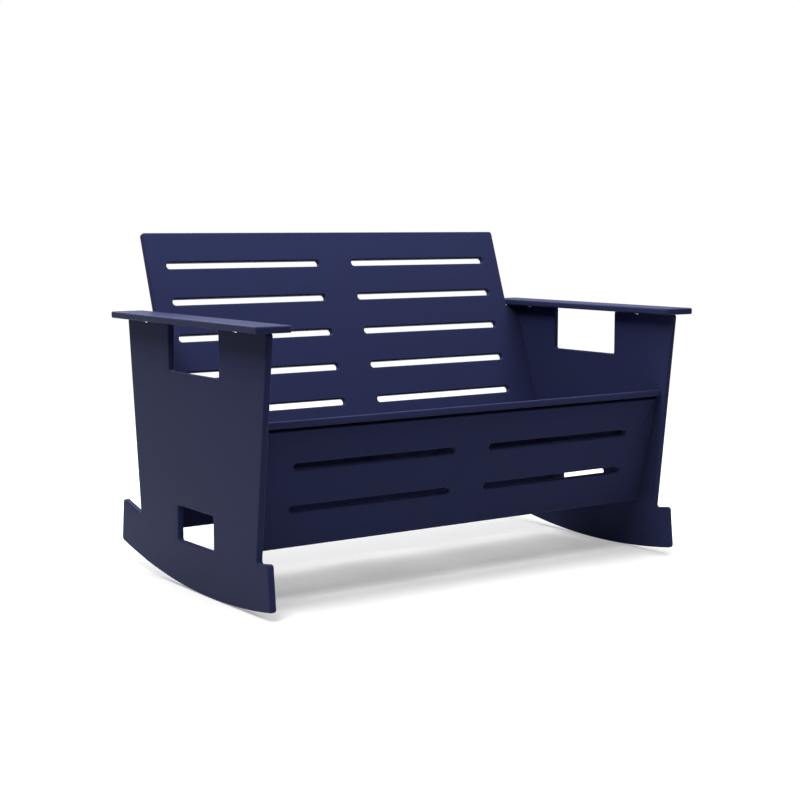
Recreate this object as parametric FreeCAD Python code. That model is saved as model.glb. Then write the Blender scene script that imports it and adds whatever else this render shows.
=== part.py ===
"""Two-seat rocking bench cut from flat recycled-plastic board.

X runs across the bench, Y from front to back and Z up. The floor is Z = 0 and X = 0 is the middle.
While it is built, Y = 0 is the middle of the side panels; the last step moves the bench so that
Y = 0 is the middle of its overall depth. Sizes are millimetres and degrees.
"""
import FreeCAD, Part
import math
import os

from FreeCAD import Vector

# Board stock and the corners of what is cut from it
BOARD = 16.0
OUTER_CORNER = 8.0
INNER_CORNER = 6.0
SIDE_GAP = 0.5

# Side panels, which are also the rockers
SIDES_WIDTH = 1220.0
SIDE_HEIGHT = 630.0
SIDE_TOP_DEPTH = 681.0
SIDE_EDGE_SLOPE = 6.2
ROCKER_RADIUS = 1806.0
ROCKER_CENTRE_AHEAD = 72.0
ROCKER_BAND = 106.5
TOE_END_SLOPE = 5.7
FRONT_TOE_REACH = 346.5
REAR_TOE_REACH = 405.0
HAND_NOTCH_WIDTH = 243.0
HAND_NOTCH_DEPTH = 116.5
LOWER_HOLE_WIDTH = 174.0
LOWER_HOLE_HEIGHT = 84.0
LOWER_HOLE_BASE = 111.5

# Arm boards and the steel plates that tie them to the side panels
ARM_LENGTH = 722.0
ARM_WIDTH = 89.0
ARM_TO_BACK_GAP = 0.5
PLATE_THICKNESS = 3.0
PLATE_WIDTH = 10.0
PLATE_OVERHANG = 14.0
PLATE_FROM_MIDDLE = 219.0
PLATE_FIT = 0.2

# Slots, which are the same in the back, the seat and the apron
SLOT_WIDTH = 16.4
SLOT_LENGTH = 451.0
CENTRE_STRIP = 104.5

# Back panel
BACK_LEAN = 19.1
BACK_LENGTH = 746.5
BACK_TOP_HEIGHT = 839.5
BACK_FACE_AT_ARM = 290.0
BACK_TOP_WIDTH = 1115.0
BACK_SHOULDER_GAP = 4.0
BACK_SLOT_ROWS = 7

# Front apron
APRON_LEAN = 13.0
APRON_LENGTH = 291.3
APRON_FOOT_HEIGHT = 130.8
APRON_FOOT_AHEAD = 225.5
APRON_SLOT_ROWS = 2

# Seat
SEAT_SLOPE = 10.0
SEAT_OVERHANG = 16.0
SEAT_TO_BACK_GAP = 1.5
SEAT_SLOT_ROWS = 4

# Cleats behind the joints, and the rib under the middle of the seat
CLEAT = 30.0
CLEAT_GAP = 1.0
CLEAT_END = 12.0
RIB_DEPTH = 110.0

# Screws: board screws go through a cleat, arm and edge screws hold the arm plates
BOARD_SCREW = {"shank": 5.0, "head": 9.5, "rise": 3.2, "length": 40.0}
ARM_SCREW = {"shank": 4.2, "head": 8.0, "rise": 2.8, "length": 15.0}
EDGE_SCREW = {"shank": 4.2, "head": 8.0, "rise": 2.2, "length": 32.0}
SCREW_SIDE_COUNT = 6
THROUGH_CLEARANCE = 0.4
PILOT_CLEARANCE = 0.1
PILOT_SPARE = 1.0
SCREW_END_MARGIN = 48.0
RIB_CLEAT_END_MARGIN = 20.0
SEAT_SCREW_COUNT = 3
BACK_SCREW_COUNT = 3
APRON_SCREW_COUNT = 2
LEDGER_SCREW_COUNT = 2
RIB_CLEAT_SCREW_COUNT = 2

# Directions, and how closely shapes are compared when edges are picked out
ACROSS = Vector(1, 0, 0)
UP = Vector(0, 0, 1)
PARALLEL_ANGLE = 0.8
TOUCHING = 0.001
EDGE_PROBE_COUNT = 16

parallel = math.cos(math.radians(PARALLEL_ANGLE))
inner_face = SIDES_WIDTH / 2 - BOARD
side_middle = SIDES_WIDTH / 2 - BOARD / 2


# Side view geometry

def point(y, z):
    """A point of the side view."""
    return Vector(0, y, z)


def turned(angle):
    """Unit direction in the side view, at an angle that turns from +Y towards +Z."""
    return Vector(0, math.cos(math.radians(angle)), math.sin(math.radians(angle)))


def line(start, angle):
    """A straight line of the side view: a point on it and its direction."""
    return start, turned(angle)


def beside(base, distance):
    """The parallel line that lies a distance to the left of a line, seen along its direction."""
    start, direction = base
    return start + ACROSS.cross(direction) * distance, direction


def meet(first, second):
    """The point where two lines of the side view cross."""
    (start, direction), (other, other_direction) = first, second
    normal = ACROSS.cross(other_direction)
    return start + direction * ((other - start).dot(normal) / direction.dot(normal))


def meet_circle(base, centre, radius, rearward):
    """The crossing of a line with a circle that lies further to the rear, or further forward."""
    start, direction = base
    offset = start - centre
    along = offset.dot(direction)
    reach = math.sqrt(along ** 2 - offset.dot(offset) + radius ** 2)
    hits = [start + direction * (-along - reach), start + direction * (-along + reach)]
    low_hits = [hit for hit in hits if hit.z < centre.z]
    return max(low_hits, key=lambda hit: hit.y if rearward else -hit.y)


def spread(start, end, count, margin=SCREW_END_MARGIN):
    """Evenly spaced points between two points, with a margin at each end."""
    direction = (end - start).normalize()
    first = start + direction * margin
    run = (end - start).Length - 2 * margin
    return [first + direction * (run * index / (count - 1)) for index in range(count)]


def between(places):
    """The points midway between neighbouring points of a row."""
    return [(one + two) / 2 for one, two in zip(places, places[1:])]


# The planes of the bench, as lines of the side view

back_face = line(point(BACK_FACE_AT_ARM, SIDE_HEIGHT), 90 - BACK_LEAN)
back_rear = beside(back_face, -BOARD)
back_up = back_face[1]
back_top = meet(back_face, line(point(0, BACK_TOP_HEIGHT), 0))
back_foot = back_top - back_up * BACK_LENGTH

apron_face = line(point(-APRON_FOOT_AHEAD, APRON_FOOT_HEIGHT), 90 + APRON_LEAN)
apron_rear = beside(apron_face, -BOARD)
apron_up = apron_face[1]
apron_top = apron_face[0] + apron_up * APRON_LENGTH

seat_under = line(apron_top, -SEAT_SLOPE)
seat_rearward = seat_under[1]
seat_up = ACROSS.cross(seat_rearward)
seat_end = meet(seat_under, beside(back_face, SEAT_TO_BACK_GAP))
seat_start = apron_top - seat_rearward * SEAT_OVERHANG

cleat_under = beside(seat_under, -CLEAT)
below_cleat = beside(seat_under, -CLEAT - CLEAT_GAP)
rib_under = beside(seat_under, -RIB_DEPTH)

# The boards that the seat ends at: name, the face under the seat, and the side that is inside
SEAT_ENDS = (("front", "front_apron", apron_rear, -1), ("rear", "back_panel", back_face, 1))


# Boards

def at(place, x):
    """A point of the side view, moved across the bench."""
    return Vector(x, place.y, place.z)


def facet(corners):
    """A flat face between corners."""
    return Part.Face(Part.makePolygon(corners + corners[:1]))


def prism(corners, from_x, to_x):
    """A solid with a side-view outline, between two places across the bench."""
    return facet([at(corner, from_x) for corner in corners]).extrude(ACROSS * (to_x - from_x))


def direction_of(edge):
    """Unit direction of a straight edge."""
    return edge.tangentAt(edge.FirstParameter)


def middle_of(edge):
    """The point halfway along an edge."""
    return edge.valueAt((edge.FirstParameter + edge.LastParameter) / 2)


def edges_along(shape, direction):
    """Straight edges that run in a direction."""
    straight = [edge for edge in shape.Edges if isinstance(edge.Curve, Part.Line)]
    return [edge for edge in straight if abs(direction_of(edge).dot(direction)) > parallel]


def is_inner_corner(shape, edge):
    """True where the solid fills more than half of the space round an edge."""
    along = direction_of(edge)
    side_one = along.cross(UP if abs(along.dot(ACROSS)) > parallel else ACROSS).normalize()
    side_two = along.cross(side_one)
    inside = 0
    for step in range(EDGE_PROBE_COUNT):
        turn = math.pi * (2 * step + 1) / EDGE_PROBE_COUNT
        probe = middle_of(edge) + side_one * math.cos(turn) + side_two * math.sin(turn)
        inside += shape.isInside(probe, TOUCHING, False)
    return inside > EDGE_PROBE_COUNT / 2


def round_corners(board, through):
    """Rounds a board's corners: outer ones wide, inner ones to the radius that the cutter leaves."""
    corners = edges_along(board, through)
    inner = [edge for edge in corners if is_inner_corner(board, edge)]
    outer = [edge for edge in corners if not any(edge.isSame(other) for other in inner)]
    board = board.makeFillet(OUTER_CORNER, outer)
    places = [Part.Vertex(middle_of(edge)) for edge in inner]
    again = [edge for edge in edges_along(board, through)
             if any(place.distToShape(edge)[0] < TOUCHING for place in places)]
    return board.makeFillet(INNER_CORNER, again) if again else board


def slot(middle_x, middle_y):
    """A through slot with round ends, in a board that lies on the XY plane."""
    half_run = (SLOT_LENGTH - SLOT_WIDTH) / 2
    radius = SLOT_WIDTH / 2
    low, high = middle_y - radius, middle_y + radius
    left, right = middle_x - half_run, middle_x + half_run
    left_tip, right_tip = Vector(left - radius, middle_y, 0), Vector(right + radius, middle_y, 0)
    rim = [
        Part.LineSegment(Vector(left, high, 0), Vector(right, high, 0)),
        Part.Arc(Vector(right, high, 0), right_tip, Vector(right, low, 0)),
        Part.LineSegment(Vector(right, low, 0), Vector(left, low, 0)),
        Part.Arc(Vector(left, low, 0), left_tip, Vector(left, high, 0)),
    ]
    return Part.Face(Part.Wire([curve.toShape() for curve in rim])).extrude(UP * BOARD)


def slotted_board(outline, length, rows):
    """A board on the XY plane with equal slats between rows of slots, two slots to a row."""
    corners = [Vector(x, y, 0) for x, y in outline]
    board = round_corners(facet(corners).extrude(UP * BOARD), UP)
    slat = (length - rows * SLOT_WIDTH) / (rows + 1)
    middle_x = (CENTRE_STRIP + SLOT_LENGTH) / 2
    slots = []
    for row in range(rows):
        middle_y = slat + SLOT_WIDTH / 2 + row * (slat + SLOT_WIDTH)
        slots += [slot(-middle_x, middle_y), slot(middle_x, middle_y)]
    return board.cut(slots)


def rectangle(width, length):
    """Corners of a board's outline, with its lower edge on Y = 0."""
    half = width / 2
    return [(-half, 0), (half, 0), (half, length), (-half, length)]


def laid(board, origin, along):
    """Lays a board so that its Y runs along a side-view direction and its Z points out of its face."""
    outward = ACROSS.cross(along)
    matrix = FreeCAD.Matrix(1, 0, 0, origin.x,
                            0, along.y, outward.y, origin.y,
                            0, along.z, outward.z, origin.z)
    board.Placement = FreeCAD.Placement(matrix)
    return board


def back_panel():
    """The back: full width below the arms, and narrower where it rises between the arm boards."""
    under_arms = line(point(0, SIDE_HEIGHT - BACK_SHOULDER_GAP), 0)
    shoulder = (meet(back_face, under_arms) - back_foot).Length
    low, high = inner_face - SIDE_GAP, BACK_TOP_WIDTH / 2
    outline = [(-low, 0), (low, 0), (low, shoulder), (high, shoulder),
               (high, BACK_LENGTH), (-high, BACK_LENGTH), (-high, shoulder), (-low, shoulder)]
    board = slotted_board(outline, BACK_LENGTH, BACK_SLOT_ROWS)
    return laid(board, back_foot - ACROSS.cross(back_up) * BOARD, back_up)


def seat_panel():
    """The seat: it lies on the apron's top edge, overhangs it, and slopes down to the back."""
    length = (seat_end - seat_start).Length
    outline = rectangle(2 * (inner_face - SIDE_GAP), length)
    return laid(slotted_board(outline, length, SEAT_SLOT_ROWS), seat_start, seat_rearward)


def front_apron():
    """The apron: its top edge is cut to the slope of the seat."""
    outline = rectangle(2 * (inner_face - SIDE_GAP), APRON_LENGTH)
    board = slotted_board(outline, APRON_LENGTH, APRON_SLOT_ROWS)
    apron = laid(board, apron_face[0] - ACROSS.cross(apron_up) * BOARD, apron_up)
    ahead = apron_top - seat_rearward * BOARD
    behind = apron_top + seat_rearward * 2 * BOARD
    waste = [ahead, behind, behind + seat_up * BOARD, ahead + seat_up * BOARD]
    return apron.cut(prism(waste, -inner_face, inner_face))


def side_outline():
    """The side panel's outline: a tapering panel on a band that is curved to the rocker's circle."""
    centre = point(-ROCKER_CENTRE_AHEAD, ROCKER_RADIUS)
    band_radius = ROCKER_RADIUS - ROCKER_BAND
    half = SIDE_TOP_DEPTH / 2
    front_edge = line(point(-half, SIDE_HEIGHT), 90 + SIDE_EDGE_SLOPE)
    rear_edge = line(point(half, SIDE_HEIGHT), 90 - SIDE_EDGE_SLOPE)
    front_toe = line(point(-FRONT_TOE_REACH, 0), 90 - TOE_END_SLOPE)
    rear_toe = line(point(REAR_TOE_REACH, 0), 90 + TOE_END_SLOPE)

    front_root = meet_circle(front_edge, centre, band_radius, False)
    front_tip = meet_circle(front_toe, centre, band_radius, False)
    front_low = meet_circle(front_toe, centre, ROCKER_RADIUS, False)
    rear_low = meet_circle(rear_toe, centre, ROCKER_RADIUS, True)
    rear_tip = meet_circle(rear_toe, centre, band_radius, True)
    rear_root = meet_circle(rear_edge, centre, band_radius, True)

    def straight(start, end):
        return Part.LineSegment(start, end).toShape()

    def curved(start, end, radius):
        middle = ((start + end) * 0.5 - centre).normalize() * radius + centre
        return Part.Arc(start, middle, end).toShape()

    return Part.Wire([
        straight(front_edge[0], rear_edge[0]),
        straight(rear_edge[0], rear_root),
        curved(rear_root, rear_tip, band_radius),
        straight(rear_tip, rear_low),
        curved(rear_low, front_low, ROCKER_RADIUS),
        straight(front_low, front_tip),
        curved(front_tip, front_root, band_radius),
        straight(front_root, front_edge[0]),
    ])


def block(width, height, low_z):
    """A square-cut opening across the board, in the middle of the side panel."""
    return Part.makeBox(BOARD, width, height, Vector(0, -width / 2, low_z))


def side_panel(side):
    """A side panel: hand notch under the arm, hole above the rocker, seats for the two arm plates."""
    panel = Part.Face(side_outline()).extrude(ACROSS * BOARD)
    notch = block(HAND_NOTCH_WIDTH, HAND_NOTCH_DEPTH, SIDE_HEIGHT - HAND_NOTCH_DEPTH)
    hole = block(LOWER_HOLE_WIDTH, LOWER_HOLE_HEIGHT, LOWER_HOLE_BASE)
    panel = round_corners(panel.cut([notch, hole]), ACROSS)
    seats = []
    for place in plate_places():
        width = PLATE_WIDTH + PLATE_FIT
        corner = Vector(0, place - width / 2, SIDE_HEIGHT - PLATE_THICKNESS)
        seats.append(Part.makeBox(BOARD, width, PLATE_THICKNESS, corner))
    panel = panel.cut(seats)
    panel.translate(ACROSS * (inner_face if side > 0 else -inner_face - BOARD))
    return panel


def arm_board(side):
    """An arm board: it rests on the side panel's top edge and stops just short of the back."""
    inner_edge = BACK_TOP_WIDTH / 2 + ARM_TO_BACK_GAP
    low_x = inner_edge if side > 0 else -inner_edge - ARM_WIDTH
    corner = Vector(low_x, -ARM_LENGTH / 2, SIDE_HEIGHT)
    return round_corners(Part.makeBox(ARM_WIDTH, ARM_LENGTH, BOARD, corner), UP)


def plate_places():
    """Where the two arm plates of a side lie, from front to back."""
    return [-PLATE_FROM_MIDDLE, PLATE_FROM_MIDDLE]


def arm_plate(side, place):
    """A flat steel plate let into the top edge of the side panel."""
    length = BOARD + 2 * PLATE_OVERHANG
    low_x = side * side_middle - length / 2
    corner = Vector(low_x, place - PLATE_WIDTH / 2, SIDE_HEIGHT - PLATE_THICKNESS)
    return Part.makeBox(length, PLATE_WIDTH, PLATE_THICKNESS, corner)


# Fasteners

def ring(centre, direction, width):
    """Corners of an outline with flat sides, square to a direction, in place of a circle."""
    side_one = direction.cross(UP if abs(direction.dot(ACROSS)) > parallel else ACROSS).normalize()
    side_two = direction.cross(side_one)
    corners = []
    for step in range(SCREW_SIDE_COUNT):
        turn = 2 * math.pi * step / SCREW_SIDE_COUNT
        corners.append(centre + (side_one * math.cos(turn) + side_two * math.sin(turn)) * (width / 2))
    return corners


def bar(start, direction, length, width):
    """A straight bar with flat sides."""
    return facet(ring(start, direction, width)).extrude(direction * length)


def sunk_head(kind, seat, direction, clearance=0):
    """A countersunk head, which tapers to its shank from the seat point."""
    mouth = ring(seat, direction, kind["head"] + clearance)
    neck = ring(seat + direction * kind["rise"], direction, kind["shank"] + clearance)
    walls = [facet([mouth[step - 1], mouth[step], neck[step], neck[step - 1]])
             for step in range(SCREW_SIDE_COUNT)]
    return Part.makeSolid(Part.makeShell(walls + [facet(mouth), facet(neck)]))


def screw(kind, seat, direction):
    """A screw whose head stands on the seat point; its shank runs in the direction."""
    head = bar(seat, direction * -1, kind["rise"], kind["head"])
    return head.fuse(bar(seat, direction, kind["length"], kind["shank"]))


def flat_screw(kind, seat, direction):
    """A countersunk screw: its head lies flush with the seat point."""
    shank = bar(seat, direction, kind["length"], kind["shank"])
    return sunk_head(kind, seat, direction).fuse(shank)


class Assembly:
    """The named pieces, the screws that hold them and the holes these screws need."""

    def __init__(self):
        self.pieces = {}
        self.screws = {}
        self.holes = {}

    def bore(self, name, hole):
        """Remembers a hole that a piece gets."""
        self.holes.setdefault(name, []).append(hole)

    def fasten(self, group, seat, direction, through, into, kind=BOARD_SCREW, grip=CLEAT):
        """Drives a screw through one piece into the next, and bores both for it."""
        self.screws.setdefault(group, []).append(screw(kind, seat, direction))
        self.bore(through, bar(seat, direction, grip, kind["shank"] + THROUGH_CLEARANCE))
        depth = kind["length"] - grip + PILOT_SPARE
        self.bore(into, bar(seat + direction * grip, direction, depth, kind["shank"] + PILOT_CLEARANCE))

    def finished(self):
        """Every piece with its holes cut, and each group of equal screws as one compound."""
        shapes = {}
        for name, piece in self.pieces.items():
            shapes[name] = piece.cut(self.holes[name]) if name in self.holes else piece
        for name, screws in self.screws.items():
            shapes[name] = Part.makeCompound(screws)
        return shapes


def add_side_cleat(bench, side, hand, label, board, near, ends, count):
    """A cleat in the corner between a side panel and a board's inner face, screwed to both."""
    name = hand + "_" + label + "_cleat"
    far = beside(near, -CLEAT)
    corners = [meet(near, ends[0]), meet(near, ends[1]), meet(far, ends[1]), meet(far, ends[0])]
    bench.pieces[name] = prism(corners, side * (inner_face - CLEAT), side * inner_face)

    middle = beside(near, -CLEAT / 2)
    row = spread(meet(middle, ends[0]), meet(middle, ends[1]), count)
    into_board = ACROSS.cross(near[1])
    for place in row:
        seat = at(place, side * (inner_face - CLEAT))
        bench.fasten(label + "_cleat_screws", seat, ACROSS * side, name, hand + "_side_panel")
    for place in between(row):
        seat = at(place, side * (inner_face - CLEAT / 2)) - into_board * (CLEAT / 2)
        bench.fasten(label + "_screws", seat, into_board, name, board)


def add_side_cleats(bench, side, hand):
    """The three cleats of a side panel: under the seat, behind the back and behind the apron."""
    seat_ends = (beside(apron_rear, -SIDE_GAP), beside(back_face, SIDE_GAP))
    add_side_cleat(bench, side, hand, "seat", "seat_panel", seat_under, seat_ends, SEAT_SCREW_COUNT)

    back_low = line(back_foot + back_up * CLEAT_END, -BACK_LEAN)
    back_high = line(point(0, SIDE_HEIGHT - CLEAT_END), 0)
    back_ends = (back_low, back_high)
    add_side_cleat(bench, side, hand, "back", "back_panel", back_rear, back_ends, BACK_SCREW_COUNT)

    apron_low = line(apron_face[0] + apron_up * CLEAT_END, APRON_LEAN)
    apron_ends = (apron_low, below_cleat)
    add_side_cleat(bench, side, hand, "apron", "front_apron", apron_rear, apron_ends, APRON_SCREW_COUNT)


def add_ledgers(bench, side, hand):
    """Strips along the seat's front and rear edges, between the end cleats and the middle rib."""
    low_x = BOARD / 2 + SIDE_GAP
    high_x = inner_face - CLEAT - CLEAT_GAP
    row = spread(ACROSS * low_x, ACROSS * high_x, LEDGER_SCREW_COUNT)
    for end, board, wall, inward in SEAT_ENDS:
        name = hand + "_" + end + "_seat_ledger"
        away = beside(wall, inward * CLEAT)
        corners = [meet(seat_under, wall), meet(seat_under, away),
                   meet(cleat_under, away), meet(cleat_under, wall)]
        bench.pieces[name] = prism(corners, side * low_x, side * high_x)

        face_middle = meet(beside(seat_under, -CLEAT / 2), away)
        into_wall = ACROSS.cross(wall[1]) * -inward
        for place in row:
            bench.fasten("ledger_screws", at(face_middle, side * place.x), into_wall, name, board)
        under_middle = meet(cleat_under, beside(wall, inward * CLEAT / 2))
        for place in between(row):
            bench.fasten("seat_screws", at(under_middle, side * place.x), seat_up, name, "seat_panel")


def add_rib(bench):
    """The rib under the middle of the seat, with a cleat at each end."""
    front, rear = beside(apron_rear, -SIDE_GAP), beside(back_face, SIDE_GAP)
    corners = [meet(seat_under, front), meet(seat_under, rear),
               meet(rib_under, rear), meet(rib_under, front)]
    bench.pieces["middle_seat_rib"] = prism(corners, -BOARD / 2, BOARD / 2)

    face_x = BOARD / 2
    for end, board, wall, inward in SEAT_ENDS:
        name = end + "_rib_cleat"
        away = beside(wall, inward * CLEAT)
        corners = [meet(below_cleat, wall), meet(below_cleat, away),
                   meet(rib_under, away), meet(rib_under, wall)]
        bench.pieces[name] = prism(corners, face_x, face_x + CLEAT)

        into_wall = ACROSS.cross(wall[1]) * -inward
        row = spread(corners[1], corners[2], RIB_CLEAT_SCREW_COUNT, RIB_CLEAT_END_MARGIN)
        for place in row:
            bench.fasten("rib_screws", at(place, face_x + CLEAT / 2), into_wall, name, board)
        for place in between(row):
            seat = at(place + into_wall * (CLEAT / 2), face_x + CLEAT)
            bench.fasten("rib_screws", seat, ACROSS * -1, name, "middle_seat_rib")


def add_arm_fixings(bench, side, hand):
    """Plates in the side panel's top edge, each with one screw down and two up into the arm."""
    down = UP * -1
    hole_width = EDGE_SCREW["shank"] + PILOT_CLEARANCE
    hole_depth = EDGE_SCREW["length"] + PILOT_SPARE
    for end, place in zip(("front", "rear"), plate_places()):
        name = hand + "_" + end + "_arm_plate"
        bench.pieces[name] = arm_plate(side, place)
        top = Vector(side * side_middle, place, SIDE_HEIGHT)
        bench.screws.setdefault("plate_edge_screws", []).append(flat_screw(EDGE_SCREW, top, down))
        bench.bore(name, sunk_head(EDGE_SCREW, top, down, PILOT_CLEARANCE))
        bench.bore(name, bar(top, down, PLATE_THICKNESS, hole_width))
        bench.bore(hand + "_side_panel", bar(top, down, hole_depth, hole_width))
        for outward in (-1, 1):
            reach = ACROSS * (outward * (BOARD + PLATE_OVERHANG) / 2)
            seat = top + reach - UP * PLATE_THICKNESS
            bench.fasten("arm_screws", seat, UP, name, hand + "_arm_board", ARM_SCREW, PLATE_THICKNESS)


def build():
    """All the pieces, in the order that they go together."""
    bench = Assembly()
    for side, hand in ((-1, "left"), (1, "right")):
        bench.pieces[hand + "_side_panel"] = side_panel(side)
        bench.pieces[hand + "_arm_board"] = arm_board(side)
    bench.pieces["back_panel"] = back_panel()
    bench.pieces["seat_panel"] = seat_panel()
    bench.pieces["front_apron"] = front_apron()
    add_rib(bench)
    for side, hand in ((-1, "left"), (1, "right")):
        add_side_cleats(bench, side, hand)
        add_ledgers(bench, side, hand)
        add_arm_fixings(bench, side, hand)
    return bench.finished()


os.makedirs("parts", exist_ok=True)
shapes = build()
whole = Part.makeCompound(list(shapes.values())).optimalBoundingBox(False, False)
to_middle = Vector(0, -(whole.YMin + whole.YMax) / 2, 0)
for node, shape in shapes.items():
    shape.translate(to_middle)
    shape.exportStep("parts/" + node + ".step")
    print(node, len(shape.Solids), "solids,", round(shape.Volume / 1000), "cm3")
overall = [round(size, 1) for size in (whole.XLength, whole.YLength, whole.ZLength)]
print("overall", overall, "moved", round(to_middle.y, 3))
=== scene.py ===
# %% [markdown]
# # A rocking bench of flat plastic board
#
# The bench is cut from one kind of sheet: recycled high-density polyethylene, coloured navy all the way through.
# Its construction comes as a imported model, the frame: boards with sharp edges, cleats, steel plates and screws.
# This notebook gives them what a workshop gives them last: edges rounded by a router, the skin of the sheet, bright
# steel, and a place to stand under soft light.

import math

import bmesh
import bpy
import numpy as np
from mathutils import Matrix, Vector


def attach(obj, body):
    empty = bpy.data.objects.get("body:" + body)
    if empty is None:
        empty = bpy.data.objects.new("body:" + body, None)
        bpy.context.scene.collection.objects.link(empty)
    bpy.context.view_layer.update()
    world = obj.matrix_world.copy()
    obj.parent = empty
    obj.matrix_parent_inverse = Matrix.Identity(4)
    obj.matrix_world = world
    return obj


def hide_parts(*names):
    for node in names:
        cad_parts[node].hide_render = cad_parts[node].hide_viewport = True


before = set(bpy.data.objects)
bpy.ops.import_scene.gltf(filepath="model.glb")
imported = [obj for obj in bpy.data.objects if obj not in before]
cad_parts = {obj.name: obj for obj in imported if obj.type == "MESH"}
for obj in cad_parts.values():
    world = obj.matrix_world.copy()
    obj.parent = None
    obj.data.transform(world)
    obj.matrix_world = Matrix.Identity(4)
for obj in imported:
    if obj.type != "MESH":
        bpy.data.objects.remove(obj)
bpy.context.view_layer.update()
MM = 0.001

# %% [markdown]
# ## The camera
#
# A product photographer stands well back, so that the bench keeps its proportions. The lens here is long for the
# same reason, and the camera looks down only a little: the arms are seen almost edge on. Such a view could be set by
# eye. It was solved from straight edges of the bench instead, so that each of them falls where the photograph has it.
# The place is in metres, the two turns are in degrees and the lens is in millimetres.

# %% Camera
CAMERA_PLACE = (-2.2888, -3.2241, 0.8605)
CAMERA_TURN = 35.247
CAMERA_DOWN = 6.437
LENS = 70.12

camera_data = bpy.data.cameras.new("camera")
camera_data.lens = LENS
camera = bpy.data.objects.new("camera", camera_data)
camera.location = CAMERA_PLACE
camera.rotation_euler = (math.radians(90 - CAMERA_DOWN), 0, math.radians(-CAMERA_TURN))
bpy.context.collection.objects.link(camera)
bpy.context.scene.camera = camera
print("camera", CAMERA_PLACE, "lens", LENS)

# %% [markdown]
# ## Colours and nodes
#
# Colours are written as they look on a screen, in hex, and turned to linear light once. One small function adds a
# shader node, sets its values and links its inputs, so that a material reads as a short list. An input is named as
# in the editor, with _ for a space, or by its number, as in0, where several inputs share a name.

# %% Helpers for materials
NAVY = "#242949"


def linear(hex_code):
    """Linear colour of an sRGB hex code: each channel c becomes ((c + 0.055) / 1.055) ** 2.4, or c / 12.92 if dark."""
    channels = np.array([int(hex_code[place:place + 2], 16) for place in (1, 3, 5)]) / 255
    bright = ((channels + 0.055) / 1.055) ** 2.4
    return (*np.where(channels > 0.04045, bright, channels / 12.92).tolist(), 1.0)


def add(tree, kind, settings=None, **inputs):
    """Adds a node. Settings are its properties; inputs are numbers, colours or other nodes' outputs."""
    node = tree.nodes.new("ShaderNode" + kind)
    for name, value in (settings or {}).items():
        setattr(node, name, value)
    for name, value in inputs.items():
        key = name.replace("_", " ")
        socket = node.inputs[int(key[2:])] if key.startswith("in") and key[2:].isdigit() else node.inputs[key]
        if isinstance(value, bpy.types.NodeSocket):
            tree.links.new(value, socket)
        else:
            socket.default_value = value
    return node


def new_material(name):
    """An empty node material: the material, its tree and its output node."""
    material = bpy.data.materials.new(name)
    material.use_nodes = True
    material.node_tree.nodes.clear()
    return material, material.node_tree, add(material.node_tree, "OutputMaterial")


print("navy in linear light", [round(channel, 4) for channel in linear(NAVY)])

# %% [markdown]
# ## The sheet: high-density polyethylene
#
# The board is pressed from recycled polyethylene flakes. The press leaves a faint orange peel about two millimetres
# from crest to crest, a little rougher on its crests than in its hollows, and under it a finer tooth that spreads
# highlights into a satin sheen. The photograph shows hardly any mirror shine, even at a glancing angle, so the
# specular level is far below a glossy plastic's. The colour goes right through, so a cut shows the same navy, and
# only its surface differs: a router leaves it smoother, with faint ripples where the cutter paused.
#
# A picture of such a sheet could be wrapped round each board, but it would stretch at the rounded edges. Noise that
# reads the place of each point in the board has no seams, and its sizes are real ones, here in millimetres. Two
# materials share one function, which takes the size and height of both textures.

# %% Board materials
NAVY_CLOUD = "#262B4C"
CLOUD_SIZE = 90.0
PEEL_SIZE = 2.2
TOOTH_SIZE = 0.5
RIPPLE_SIZE = 4.0
NOISE_LOW, NOISE_HIGH = 0.3, 0.7
SATIN = 0.06
SHINE_LEVEL = 0.02
SHEEN = 0.1
SHEEN_ROUGHNESS = 0.4


def polyethylene(name, coarse_mm, coarse_height_mm, fine_height_mm, roughness):
    """Satin navy polyethylene: a coarse and a fine texture as bumps, and a colour that varies very slightly."""
    material, tree, output = new_material(name)
    place = add(tree, "TexCoord").outputs["Object"]
    coarse = add(tree, "TexNoise", Vector=place, Scale=1 / (coarse_mm * MM), Detail=1.0).outputs["Fac"]
    fine = add(tree, "TexNoise", Vector=place, Scale=1 / (TOOTH_SIZE * MM), Detail=2.0).outputs["Fac"]
    peel = add(tree, "Bump", Height=coarse, Strength=1.0, Distance=coarse_height_mm * MM).outputs["Normal"]
    tooth = add(tree, "Bump", Height=fine, Strength=1.0, Distance=fine_height_mm * MM, Normal=peel).outputs["Normal"]
    cloud = add(tree, "TexNoise", Vector=place, Scale=1 / (CLOUD_SIZE * MM), Detail=2.0).outputs["Fac"]
    colour = add(tree, "Mix", {"data_type": "RGBA"}, in0=cloud, in6=linear(NAVY), in7=linear(NAVY_CLOUD)).outputs[2]
    satin = add(tree, "MapRange", in0=coarse, in1=NOISE_LOW, in2=NOISE_HIGH,
                in3=roughness - SATIN, in4=roughness + SATIN).outputs[0]
    surface = add(tree, "BsdfPrincipled", Base_Color=colour, Roughness=satin, Specular_IOR_Level=SHINE_LEVEL,
                  Sheen_Weight=SHEEN, Sheen_Roughness=SHEEN_ROUGHNESS, Normal=tooth)
    tree.links.new(surface.outputs[0], output.inputs[0])
    return material


pressed_face = polyethylene("pressed_polyethylene_face", PEEL_SIZE, coarse_height_mm=0.030, fine_height_mm=0.016,
                            roughness=0.50)
routed_edge = polyethylene("routed_polyethylene_edge", RIPPLE_SIZE, coarse_height_mm=0.016, fine_height_mm=0.010,
                           roughness=0.46)
print("board materials", pressed_face.name, routed_edge.name)

# %% [markdown]
# ## Bright stainless steel
#
# The plates under the arms and the screws are stainless. A rolled bar is drawn lengthways through its die, so fine
# scratches run along it: noise that is stretched a hundred times in one direction. Real scratches are finer than a
# tenth of a millimetre. They are drawn half a millimetre wide, or they would not show. A screw is polished, and its
# marks run in no direction.

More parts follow.
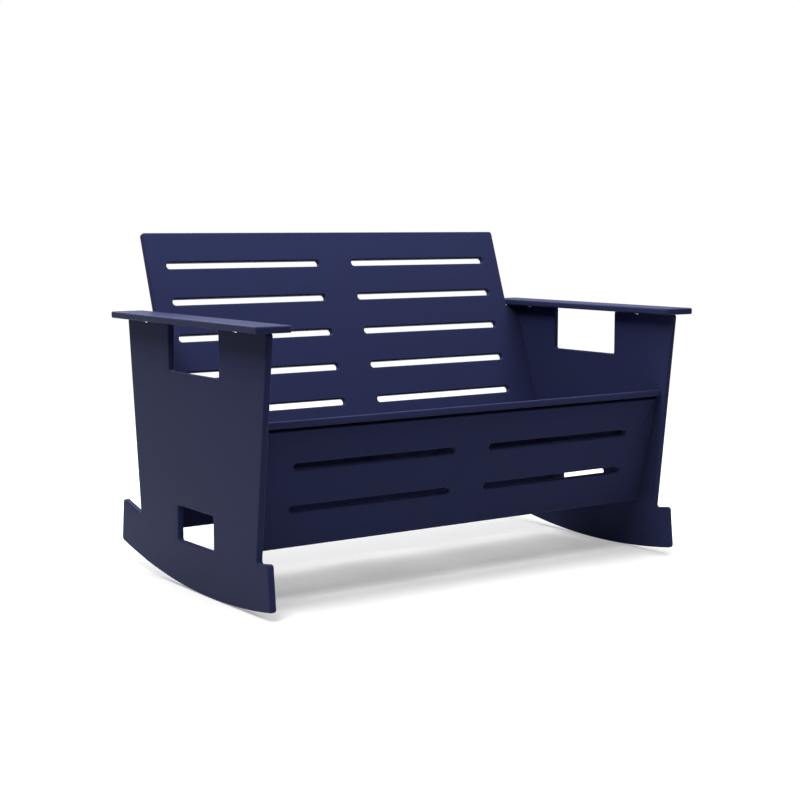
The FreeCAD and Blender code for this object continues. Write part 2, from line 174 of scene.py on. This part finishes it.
# %% Steel material
STEEL_GREY = "#D8D9DB"
SCRATCH_WIDTH = 0.5


def stainless(name, stretch, smooth, rough):
    """Stainless steel whose roughness changes between fine scratches, which are stretched along X."""
    material, tree, output = new_material(name)
    place = add(tree, "TexCoord").outputs["Object"]
    per_metre = 1 / (SCRATCH_WIDTH * MM)
    drawn = add(tree, "Mapping", Vector=place, Scale=(per_metre / stretch, per_metre, per_metre)).outputs[0]
    scratch = add(tree, "TexNoise", Vector=drawn, Scale=1.0, Detail=3.0).outputs["Fac"]
    roughness = add(tree, "MapRange", in0=scratch, in3=smooth, in4=rough).outputs[0]
    surface = add(tree, "BsdfPrincipled", Base_Color=linear(STEEL_GREY), Metallic=1.0, Roughness=roughness)
    tree.links.new(surface.outputs[0], output.inputs[0])
    return material


steel = stainless("brushed_stainless_steel", stretch=100.0, smooth=0.22, rough=0.38)
print("steel", steel.name)

# %% [markdown]
# ## Boards with routed edges
#
# A board is a flat outline with holes, pushed straight back by its thickness. The frame already holds the outline:
# it is the border of the board's flat front. So each board is made again from that face. Screw holes, which have six
# sides in the frame, are closed, because screws fill them. The face is extruded, and every sharp edge gets a bevel of
# several segments, which is what a router with a round-over bit cuts. The frame's own mesh could be bevelled too, but
# its loose triangles would break the bevel up. Points nearer to each other than FLAT count as one.

# %% Read a flat face from the frame
FLAT = 0.01 * MM
SCREW_SIDES = 6


def front_face(node, normal):
    """The triangles that lie furthest along a direction, as corner positions, that direction, and the piece's depth.

    Without a direction, it is the one that the largest triangle faces.
    """
    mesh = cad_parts[node].data
    mesh.calc_loop_triangles()
    points = np.empty(3 * len(mesh.vertices))
    mesh.vertices.foreach_get("co", points)
    corners = np.empty(3 * len(mesh.loop_triangles), dtype=int)
    mesh.loop_triangles.foreach_get("vertices", corners)
    triangles = points.reshape(-1, 3)[corners.reshape(-1, 3)]
    if normal is None:
        across = np.cross(triangles[:, 1] - triangles[:, 0], triangles[:, 2] - triangles[:, 0])
        areas = np.linalg.norm(across, axis=1)
        normal = across[areas.argmax()] / areas.max()
    heights = triangles @ normal
    return triangles[(heights > heights.max() - FLAT).all(axis=1)], normal, np.ptp(heights)


panel_front, panel_normal, panel_depth = front_face("back_panel", None)
print("back panel", len(panel_front), "triangles face", panel_normal.round(3), "depth", round(panel_depth, 4))

# %% Cut a board and route its edges
SHARP = math.radians(30)
SAME_PLANE = 0.002
ROUTER_SEGMENTS = 4
QUARTER_CIRCLE = 0.5


def board(node, radius, normal=None, ceiling=None):
    """A board from a node's front face: the face F, its copy F - depth n and the walls between, sharp edges rounded.

    With a ceiling, what stands above that plane slides down onto it before the edges are rounded.
    """
    triangles, normal, depth = front_face(node, normal)
    work = bmesh.new()
    flat = bpy.data.meshes.new(node)
    flat.from_pydata(triangles.reshape(-1, 3), [], np.arange(len(triangles) * 3).reshape(-1, 3))
    work.from_mesh(flat)
    bpy.data.meshes.remove(flat)
    bmesh.ops.remove_doubles(work, verts=work.verts, dist=FLAT)
    bmesh.ops.holes_fill(work, edges=[edge for edge in work.edges if edge.is_boundary], sides=SCREW_SIDES)
    bmesh.ops.dissolve_limit(work, angle_limit=SAME_PLANE, verts=work.verts, edges=work.edges)
    swept = bmesh.ops.extrude_face_region(work, geom=work.faces[:], use_keep_orig=True)
    moved = [item for item in swept["geom"] if isinstance(item, bmesh.types.BMVert)]
    bmesh.ops.translate(work, verts=moved, vec=Vector(-normal * depth))
    bmesh.ops.recalc_face_normals(work, faces=work.faces)
    if ceiling:
        lower_to(work, *ceiling)
    sharp = [edge for edge in work.edges if edge.calc_face_angle(0) > SHARP]
    bmesh.ops.bevel(work, geom=sharp, offset=radius, segments=ROUTER_SEGMENTS, profile=QUARTER_CIRCLE,
                    affect="EDGES")
    mesh = bpy.data.meshes.new(node + "_routed")
    work.to_mesh(mesh)
    work.free()
    return mesh


def lower_to(work, point, up, slide):
    """Each vertex P above the plane slides back onto it: P - slide ((P - point) . up) / (slide . up)."""
    for vertex in work.verts:
        above = (vertex.co - point).dot(up)
        if above > 0:
            vertex.co -= slide * (above / slide.dot(up))


print("edges sharper than", round(math.degrees(SHARP)), "degrees are rounded in", ROUTER_SEGMENTS, "segments")

# %% [markdown]
# ## A finished piece
#
# A rounded edge has to look round and the face beside it flat. Smooth shading alone would bend the light on the whole
# face. Weighted normals let the large face decide at a shared corner, so only the bevel curves. The board's two faces
# show the pressed skin, and everything that the cutter made shows the routed one. At the end the piece hangs on the
# bench's root, and the frame's plain solid that it stands for is hidden.

# %% Finish a piece
ON_FACE = 0.999
LARGE_FACES_DECIDE = 100


def finished(mesh, name, node, face_material, edge_material, normal=None):
    """Makes a piece of a mesh, in one material, or with another one on all that doesn't face along the normal."""
    mesh.materials.append(face_material)
    mesh.materials.append(edge_material)
    normals = np.empty(3 * len(mesh.polygons))
    mesh.polygons.foreach_get("normal", normals)
    if normal is not None:
        off_face = np.abs(normals.reshape(-1, 3) @ normal) < ON_FACE
        mesh.polygons.foreach_set("material_index", off_face.astype(np.int32))
    mesh.polygons.foreach_set("use_smooth", np.ones(len(mesh.polygons), dtype=bool))
    piece = bpy.data.objects.new(name, mesh)
    bpy.context.collection.objects.link(piece)
    mesh.set_sharp_from_angle(angle=SHARP)
    weights = piece.modifiers.new("flat faces stay flat", "WEIGHTED_NORMAL")
    weights.weight = LARGE_FACES_DECIDE
    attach(piece, "root")
    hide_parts(node)
    return piece


print("a face turned by up to", round(math.degrees(math.acos(ON_FACE)), 1), "degrees still counts as pressed skin")

# %% Make the boards
ROUND_OVER = 4.0 * MM
ACROSS = np.array([1.0, 0.0, 0.0])

boards = ["left_side_panel", "right_side_panel", "left_arm_board", "right_arm_board", "back_panel", "seat_panel"]
for node in boards:
    normal = front_face(node, None)[1]
    piece = finished(board(node, ROUND_OVER), node + "_routed", node, pressed_face, routed_edge, normal)
    print(piece.name, len(piece.data.polygons), "faces")

# %% [markdown]
# ## The apron
#
# The apron leans out towards its top and the seat lies on it, so its top edge is cut to the slope of the seat. It is
# made like the others, square, and then whatever stands above the underside of the seat slides back down the board.

# %% Apron
seat_normal = front_face("seat_panel", None)[1]
seat_normal *= np.sign(seat_normal[2])
seat_under = front_face("seat_panel", -seat_normal)[0][0, 0]
apron_normal = front_face("front_apron", None)[1]
apron_up = np.cross(apron_normal, ACROSS)
apron_up *= np.sign(apron_up[2])
apron_mesh = board("front_apron", ROUND_OVER, ceiling=(Vector(seat_under), Vector(seat_normal), Vector(apron_up)))
apron = finished(apron_mesh, "front_apron_routed", "front_apron", pressed_face, routed_edge, apron_normal)
print(apron.name, len(apron_mesh.polygons), "faces, seat slopes by", round(math.degrees(math.acos(seat_normal[2])), 1))

# %% [markdown]
# ## Cleats, ledgers and the rib
#
# The strips behind the joints are sawn from the same sheet and their edges are eased less. They are seen only from
# behind and from below, and could stay as sharp as the frame has them, but an eased edge catches light that a sharp
# one doesn't. Their outline is a side view, so they are extruded across the bench.

# %% Strips
EASED = 1.5 * MM
STRIP_WORDS = ("cleat", "ledger", "rib")

strips = [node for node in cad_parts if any(word in node for word in STRIP_WORDS) and "screws" not in node]
for node in strips:
    finished(board(node, EASED, ACROSS), node + "_eased", node, pressed_face, routed_edge)
print(len(strips), "strips")

# %% [markdown]
# ## Plates
#
# The arm plates are cut from flat steel bar. Sheared ends are filed just enough to be safe to touch. A plain bar
# would do for the shape, but the thin filed edge is what catches a lamp, so a plate is cut and rounded as a board is,
# from its lower face.

# %% Plates
FILED = 0.4 * MM
UP = np.array([0.0, 0.0, 1.0])

plates = [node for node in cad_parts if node.endswith("_arm_plate")]
for node in plates:
    finished(board(node, FILED, -UP), node + "_filed", node, steel, steel)
print(len(plates), "plates")

# %% [markdown]
# ## Screws
#
# In the frame a screw is a six-sided bar with a six-sided head. Each one is measured there: where its head ends, which
# way it points, and the radius at each step. A round screw with a six-lobed drive then takes its place. It could be
# joined from cylinders and cones with a hole cut into them. One profile carried round the axis is simpler and has no
# seams: each step of the profile is a ring of points, and the drive is a wave in the radius of the inner rings.

# %% Separate the screws
def solids(node):
    """The corner points of each separate solid: every point takes the lowest number that its edges lead to."""
    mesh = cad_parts[node].data
    points = np.empty(3 * len(mesh.vertices))
    mesh.vertices.foreach_get("co", points)
    points, same = np.unique(points.reshape(-1, 3).round(6), axis=0, return_inverse=True)
    edges = np.empty(2 * len(mesh.edges), dtype=int)
    mesh.edges.foreach_get("vertices", edges)
    edges = same.reshape(-1)[edges].reshape(-1, 2)
    label, lowest = None, np.arange(len(points))
    while label is None or (label != lowest).any():
        label = lowest.copy()
        np.minimum.at(lowest, edges[:, 0], label[edges[:, 1]])
        np.minimum.at(lowest, edges[:, 1], label[edges[:, 0]])
    return [points[label == number] for number in np.unique(label)]


screw_groups = {node: solids(node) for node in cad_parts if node.endswith("_screws")}
print(sum(len(parts) for parts in screw_groups.values()), "screws in", len(screw_groups), "groups")

# %% Measure the screws
def measured(points):
    """A screw's head end, its direction, and the distance and radius of each step along it."""
    middle = points.mean(axis=0)
    direction = np.linalg.svd(points - middle)[2][0]
    along = (points - middle) @ direction
    radii = np.linalg.norm(points - middle - along[:, None] * direction, axis=1)
    if along[radii.argmax()] > 0:
        direction, along = -direction, -along
    steps = np.unique(along.round(5))
    widths = np.array([radii[np.abs(along - step) < 2 * FLAT].max() for step in steps])
    return middle + direction * steps[0], direction, steps - steps[0], widths


for node, parts in screw_groups.items():
    steps, widths = measured(parts[0])[2:]
    print(node, len(parts), "screws, steps", (steps / MM).round(1), "mm, radii", (widths / MM).round(2), "mm")

# %% The profile of a screw
PAN_RATIO = 1.5
CROWN_RINGS = 9
CROWN_POWER = 2.5
LOBE_DEPTH = 0.14
DRIVE_FLOOR = 0.36
DRIVE_RIM = 0.42
DRIVE_DEPTH = 0.6
TIP = 5.0 * MM


def screw_profile(steps, widths):
    """Distance, radius and lobe depth of each ring, from the drive's middle over the head to the tip.

    A pan head falls by rise (1 - (1 - x ** n) ** (1 / n)) at x head radii from its middle. A sunk head is flat on
    top and a cone below.
    """
    rise, end, head, shank = steps[1], steps[2], widths[0], widths[2]
    pan = widths[1] > PAN_RATIO * shank
    across = np.linspace(DRIVE_RIM, 1, CROWN_RINGS)
    crown = rise * (1 - (1 - across ** CROWN_POWER) ** (1 / CROWN_POWER)) if pan else np.zeros(CROWN_RINGS)
    floor = crown[0] + DRIVE_DEPTH * rise
    lobes = np.concatenate([[0, LOBE_DEPTH, LOBE_DEPTH], np.zeros(CROWN_RINGS + 2)])
    distance = np.concatenate([[floor, floor], crown, [rise, end - TIP, end]])
    radius = np.concatenate([[0, DRIVE_FLOOR * head], across * head, [shank, shank, 0]])
    return distance, radius, lobes


trial_distance, trial_radius, _ = screw_profile(*measured(screw_groups["arm_screws"][0])[2:])
print("an arm screw:", len(trial_distance), "rings, its drive", round(trial_distance[0] / MM, 1), "mm deep, its head",
      round(2 * trial_radius.max() / MM, 1), "mm wide")

# %% Turn a round screw
SPOKES = 36
LOBES = 6
SLANT = 0.1


def turned_screw(head_end, direction, distance, radius, lobes):
    """Ring i, spoke j: P = head_end + distance_i d + radius_i (1 + lobes_i cos 6a_j) (cos a_j u + sin a_j v)."""
    angle = np.linspace(0, 2 * np.pi, SPOKES, endpoint=False)
    side = np.cross(direction, np.roll(direction, 1) + SLANT)
    side /= np.linalg.norm(side)
    out = np.cos(angle)[:, None] * side + np.sin(angle)[:, None] * np.cross(direction, side)
    reach = radius[:, None] * (1 + lobes[:, None] * np.cos(LOBES * angle))
    return head_end + distance[:, None, None] * direction + reach[..., None] * out


def grid_quads(rings, spokes):
    """Corner numbers of the quads between neighbouring rings, closed round the axis."""
    ring, spoke = np.meshgrid(np.arange(rings - 1), np.arange(spokes), indexing="ij")
    beside = (spoke + 1) % spokes
    return np.stack([ring * spokes + spoke, ring * spokes + beside,
                     (ring + 1) * spokes + beside, (ring + 1) * spokes + spoke], axis=-1).reshape(-1, 4)


def welded(mesh):
    """Merges the points that share a place, as at the drive's middle and at the tip, where a ring has no radius."""
    work = bmesh.new()
    work.from_mesh(mesh)
    bmesh.ops.remove_doubles(work, verts=work.verts, dist=FLAT)
    work.to_mesh(mesh)
    work.free()


print("a ring has", SPOKES, "points, and a screw", len(grid_quads(len(trial_distance), SPOKES)), "faces")

# %% Make the screws
screw_steel = stainless("polished_stainless_screw", stretch=1.0, smooth=0.16, rough=0.26)

for node, parts in screw_groups.items():
    points, quads = [], []
    for part in parts:
        head_end, direction, steps, widths = measured(part)
        grid = turned_screw(head_end, direction, *screw_profile(steps, widths))
        quads.append(grid_quads(*grid.shape[:2]) + sum(len(earlier) for earlier in points))
        points.append(grid.reshape(-1, 3))
    mesh = bpy.data.meshes.new(node + "_round")
    mesh.from_pydata(np.concatenate(points), [], np.concatenate(quads))
    welded(mesh)
    finished(mesh, node + "_round", node, screw_steel, screw_steel)
    print(node, len(mesh.polygons), "faces")

# %% [markdown]
# ## The floor
#
# The bench stands in a white studio, where floor and background run into each other without a horizon. A curved
# backdrop could do that, but its bend would show as a grey band. So the floor stays flat, and for rays from the camera
# and for reflections it glows: a little under the bench, so that the shadow stays, and fully outside an oval round
# it. For the light itself the floor is a small sheet of white paper: pale near the bench, so that it throws light
# back at the low boards, and duller further out. Both changes go by the distance from the middle, in metres, and
# OVAL makes that distance count for more sideways than from front to back.

# %% A ray that looks at the background
def looking(tree):
    """One for rays from the camera, for reflections and for rays through glass; zero for light that arrives."""
    rays = add(tree, "LightPath").outputs
    direct = add(tree, "Math", {"operation": "MAXIMUM"}, in0=rays["Is Camera Ray"], in1=rays["Is Glossy Ray"])
    through = rays["Is Transmission Ray"]
    return add(tree, "Math", {"operation": "MAXIMUM"}, in0=direct.outputs[0], in1=through).outputs[0]


print("rays that look: from the camera, off a glossy surface and through glass")

# %% Floor
FLOOR_HALF = 30.0
PAPER = "#DADADA"
PAPER_FAR = "#959595"
DULL_START = 1.2
DULL_END = 2.2
GLOW_NEAR = 0.34
GLOW_FAR = 1.0
GLOW_START = 1.0
GLOW_END = 1.5
OVAL = (1.6, 1.0, 1.0)

floor_material, tree, output = new_material("white_studio_floor")
place = add(tree, "TexCoord").outputs["Object"]
oval = add(tree, "VectorMath", {"operation": "MULTIPLY"}, in0=place, in1=OVAL).outputs[0]
away = add(tree, "VectorMath", {"operation": "LENGTH"}, in0=oval).outputs["Value"]
dull = add(tree, "MapRange", {"interpolation_type": "SMOOTHSTEP"}, in0=away, in1=DULL_START, in2=DULL_END).outputs[0]
paper = add(tree, "Mix", {"data_type": "RGBA"}, in0=dull, in6=linear(PAPER), in7=linear(PAPER_FAR)).outputs[2]
matt = add(tree, "BsdfDiffuse", Color=paper)
glow = add(tree, "MapRange", {"interpolation_type": "SMOOTHSTEP"}, in0=away, in1=GLOW_START, in2=GLOW_END,
           in3=GLOW_NEAR, in4=GLOW_FAR).outputs[0]
shown = add(tree, "Math", {"operation": "MULTIPLY"}, in0=glow, in1=looking(tree)).outputs[0]
light = add(tree, "Emission", Strength=shown)
both = add(tree, "AddShader", in0=matt.outputs[0], in1=light.outputs[0])
tree.links.new(both.outputs[0], output.inputs[0])

floor_mesh = bpy.data.meshes.new("floor")
floor_mesh.from_pydata([(x * FLOOR_HALF, y * FLOOR_HALF, 0) for x, y in ((-1, -1), (1, -1), (1, 1), (-1, 1))], [],
                       [(0, 1, 2, 3)])
floor_mesh.materials.append(floor_material)
floor = bpy.data.objects.new("floor", floor_mesh)
bpy.context.collection.objects.link(floor)
print("floor", 2 * FLOOR_HALF, "m wide")

# %% [markdown]
# ## The background
#
# A white background usually comes from a bright world, which would also flood the bench with light from every side.
# Here the world is white for rays that look at it, and almost dark for the light that it sends out.

# %% Background
WHITE = linear("#FFFFFF")
DOME = 0.05
BACKDROP = 1.0

world = bpy.data.worlds.new("white_studio")
world.use_nodes = True
tree = world.node_tree
tree.nodes.clear()
dome = add(tree, "Background", Color=WHITE, Strength=DOME)
backdrop = add(tree, "Background", Color=WHITE, Strength=BACKDROP)
choice = add(tree, "MixShader", in0=looking(tree), in1=dome.outputs[0], in2=backdrop.outputs[0])
tree.links.new(choice.outputs[0], add(tree, "OutputWorld").inputs[0])
bpy.context.scene.world = world
print("dome strength", DOME)

# %% [markdown]
# ## The lamps
#
# Two lamps hang overhead and a weaker one further forward, so level faces are bright and the front is quieter. Two
# more stand behind the bench: they light its back, and draw the soft shadow forwards between the rockers. Wide discs
# give shadows with soft edges, and their light could come from one large disc as well, but then nothing would tell
# one board from the next. Each lamp has its place and its width in metres, and its power in watts.

# %% Lamps
AIM = Vector((0, 0, 0.3))
LAMPS = {
    "overhead_left": ((-1.6, -0.5, 2.9), 1.5, 80),
    "overhead_right": ((1.0, 0.0, 3.0), 1.5, 77),
    "front": ((-0.2, -1.7, 3.4), 1.5, 34),
    "behind_high": ((0.0, 1.5, 3.0), 1.5, 44),
    "behind_low": ((0.0, 2.6, 2.6), 2.0, 57),
}

for name, (place, size, watts) in LAMPS.items():
    lamp_data = bpy.data.lights.new(name, "AREA")
    lamp_data.shape = "DISK"
    lamp_data.size = size
    lamp_data.energy = watts
    lamp = bpy.data.objects.new(name, lamp_data)
    lamp.location = place
    lamp.rotation_euler = (lamp.location - AIM).to_track_quat("Z", "Y").to_euler()
    bpy.context.collection.objects.link(lamp)
    print(name, watts, "W")

bpy.context.scene.view_settings.view_transform = "Standard"
